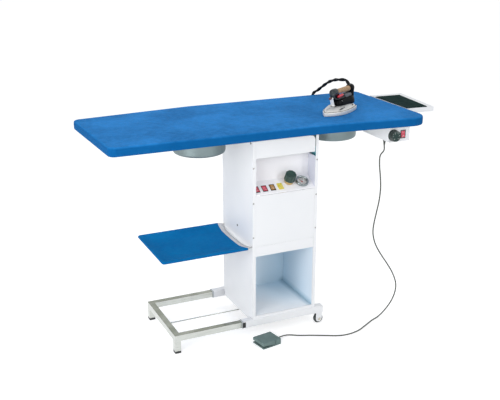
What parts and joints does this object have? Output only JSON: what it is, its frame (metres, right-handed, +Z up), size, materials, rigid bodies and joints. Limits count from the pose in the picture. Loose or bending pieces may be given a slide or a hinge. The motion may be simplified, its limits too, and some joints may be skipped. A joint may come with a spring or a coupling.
{
  "type": "vacuum ironing table",
  "caption": "Padded ironing board on a sheet-metal cabinet with boiler panel, suction tubs, slide-out base frame, cloth tray, foot pedal, iron rest and a steam iron.",
  "frame": {"origin": "middle of the footprint on the floor", "axes": "+X towards the iron rest along the board, +Y towards the back, +Z up"},
  "size_m": [1.467, 0.5923, 1.0118],
  "materials": {
    "white_paint": "smooth white paint",
    "inner_steel": "plain",
    "chrome": "polished",
    "black_plastic": "fine grain",
    "dark_green_plastic": "fine grain",
    "blue_cloth": "woven",
    "felt": "felt",
    "galvanised": "grey zinc",
    "brass": "turned",
    "red_plastic": "gloss",
    "orange_plastic": "gloss",
    "yellow_plastic": "gloss",
    "aluminium": "polished",
    "cork": "cork",
    "black_rubber": "matt",
    "grey_cable": "matt"
  },
  "bodies": {
    "table": {"back_panel": "white_paint", "back_rail": "white_paint", "base_plate": "white_paint", "board_cover": "blue_cloth", "board_heater": "galvanised", "board_padding": "felt", "board_pan": "white_paint", "boiler_heater": "brass", "boiler_tank": "inner_steel", "box_switch": "black_plastic", "control_box": "white_paint", "control_recess": "white_paint", "cord_gland": "black_rubber", "cubby_liner": "white_paint", "fascia": "white_paint", "filler_neck": "brass", "front_panel": "white_paint", "front_rail": "white_paint", "gauge_body": "chrome", "hose_outlet": "black_plastic", "left_panel": "white_paint", "pedal_base": "dark_green_plastic", "pedal_cord": "grey_cable", "perforated_plate": "galvanised", "pilot_lamp": "yellow_plastic", "rail_bushing_back": "black_plastic", "rail_bushing_front": "black_plastic", "rest_bracket": "white_paint", "right_panel": "white_paint", "steam_valve": "brass", "suction_tub_left": "galvanised", "suction_tub_right": "galvanised", "switch_bank": "black_plastic", "thermostat_body": "black_plastic", "top_plate": "white_paint"},
    "extension": {"extension_frame": "chrome", "foot_front": "black_plastic", "foot_back": "black_plastic"},
    "wheel_front": {"wheel_front": "black_rubber"},
    "wheel_back": {"wheel_back": "black_rubber"},
    "fan_left": {"fan_left": "galvanised"},
    "fan_right": {"fan_right": "galvanised"},
    "filler_cap": {"filler_cap": "dark_green_plastic"},
    "gauge_needle": {"gauge_needle": "red_plastic"},
    "rocker_1": {"rocker_1": "red_plastic"},
    "rocker_2": {"rocker_2": "red_plastic"},
    "rocker_3": {"rocker_3": "orange_plastic"},
    "thermostat_knob": {"thermostat_knob": "black_plastic"},
    "box_rocker": {"box_rocker": "red_plastic"},
    "pedal_flap": {"pedal_flap": "dark_green_plastic"},
    "tray": {"tray_frame": "chrome", "tray_cloth": "blue_cloth"},
    "iron_rest": {"iron_rest": "white_paint", "rest_mat": "dark_green_plastic"},
    "iron": {"iron_sole": "aluminium", "iron_body": "black_plastic", "iron_grip": "cork", "steam_hose": "black_rubber"},
    "iron_trigger": {"iron_trigger": "red_plastic"}
  },
  "joints": [
    {"name": "extension_slide", "type": "slide", "parent": "table", "child": "extension", "axis": [1, 0, 0], "range_m": [0, 0.23]},
    {"name": "wheel_front_roll", "type": "hinge", "parent": "table", "child": "wheel_front", "pos_m": [0.1785, -0.136, 0.021], "axis": [0, 1, 0], "continuous": true},
    {"name": "wheel_back_roll", "type": "hinge", "parent": "table", "child": "wheel_back", "pos_m": [0.1785, 0.187, 0.021], "axis": [0, 1, 0], "continuous": true},
    {"name": "fan_left_spin", "type": "hinge", "parent": "table", "child": "fan_left", "pos_m": [-0.2865, 0.028, 0.812], "axis": [0, 0, 1], "continuous": true},
    {"name": "fan_right_spin", "type": "hinge", "parent": "table", "child": "fan_right", "pos_m": [0.3095, 0.028, 0.812], "axis": [0, 0, 1], "continuous": true},
    {"name": "filler_cap_turn", "type": "hinge", "parent": "table", "child": "filler_cap", "pos_m": [0.0435, -0.10616, 0.641], "axis": [0, -0.5, 0.866], "range_deg": [0, 720]},
    {"name": "gauge_needle_turn", "type": "hinge", "parent": "table", "child": "gauge_needle", "pos_m": [0.0985, -0.11612, 0.63825], "axis": [0, 0.5, -0.866], "range_deg": [0, 240], "stiffness_Nm_per_rad": 0.0003, "springref_deg": -28.65},
    {"name": "rocker_1_press", "type": "hinge", "parent": "table", "child": "rocker_1", "pos_m": [-0.1055, -0.12175, 0.632], "axis": [1, 0, 0], "range_deg": [0, 16]},
    {"name": "rocker_2_press", "type": "hinge", "parent": "table", "child": "rocker_2", "pos_m": [-0.0709, -0.12175, 0.632], "axis": [1, 0, 0], "range_deg": [0, 16]},
    {"name": "rocker_3_press", "type": "hinge", "parent": "table", "child": "rocker_3", "pos_m": [-0.0363, -0.12175, 0.632], "axis": [1, 0, 0], "range_deg": [0, 16]},
    {"name": "thermostat_knob_turn", "type": "hinge", "parent": "table", "child": "thermostat_knob", "pos_m": [0.4335, -0.251, 0.82645], "axis": [0, 1, 0], "range_deg": [0, 300]},
    {"name": "box_rocker_press", "type": "hinge", "parent": "table", "child": "box_rocker", "pos_m": [0.4795, -0.251, 0.82645], "axis": [1, 0, 0], "range_deg": [0, 16]},
    {"name": "pedal_flap_press", "type": "hinge", "parent": "table", "child": "pedal_flap", "pos_m": [-0.07721, -0.21254, 0.009], "axis": [0.1822, -0.9833, 0], "range_deg": [0, 5], "stiffness_Nm_per_rad": 3, "springref_deg": -17.19},
    {"name": "tray_unplug", "type": "slide", "parent": "table", "child": "tray", "axis": [-1, 0, 0], "range_m": [0, 0.04]},
    {"name": "iron_rest_swivel", "type": "hinge", "parent": "table", "child": "iron_rest", "pos_m": [0.61685, 0.134, 0.893], "axis": [0, 0, 1], "range_deg": [0, 90]},
    {"name": "iron_lift", "type": "slide", "parent": "table", "child": "iron", "axis": [0, 0, 1], "range_m": [0, 0.08]},
    {"name": "iron_trigger_squeeze", "type": "hinge", "parent": "iron", "child": "iron_trigger", "pos_m": [0.26288, -0.08995, 0.9643], "axis": [0.5, -0.866, 0], "range_deg": [0, 4], "stiffness_Nm_per_rad": 0.5, "springref_deg": -11.46}
  ]
}
